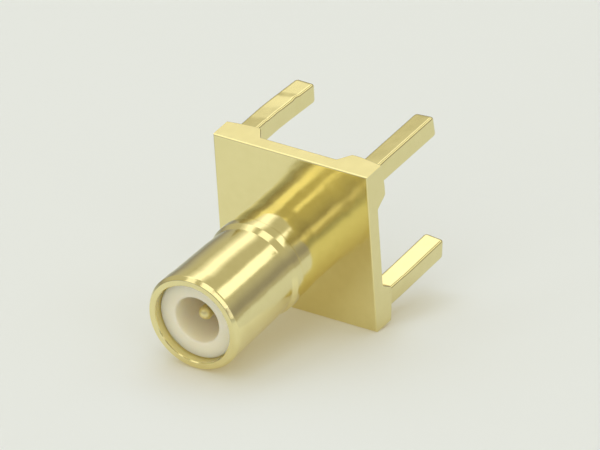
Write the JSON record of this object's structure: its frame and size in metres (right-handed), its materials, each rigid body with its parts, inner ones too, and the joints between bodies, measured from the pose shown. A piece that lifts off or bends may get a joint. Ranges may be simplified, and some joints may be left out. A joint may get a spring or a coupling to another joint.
{
  "type": "smb connector",
  "caption": "Straight gilded coaxial jack for a circuit board: round push-on nose with a white insulator and slim centre pin, square flange, standoff pads and square solder legs.",
  "frame": {"origin": "on the connector's axis, in the plane where the four standoff pads meet the board; the legs reach below it", "axes": "+Z along the mating axis out of the nose, +X and +Y square to the flange's sides"},
  "size_m": [0.0064, 0.0064, 0.0116],
  "materials": {
    "gilded_body": "bright gold plating over turned brass",
    "insulator": "waxy white fluoropolymer, machined",
    "gilded_contact": "bright gold plating"
  },
  "bodies": {
    "root": {"body": "gilded_body", "insulator": "insulator", "centre_contact": "gilded_contact"}
  },
  "joints": []
}
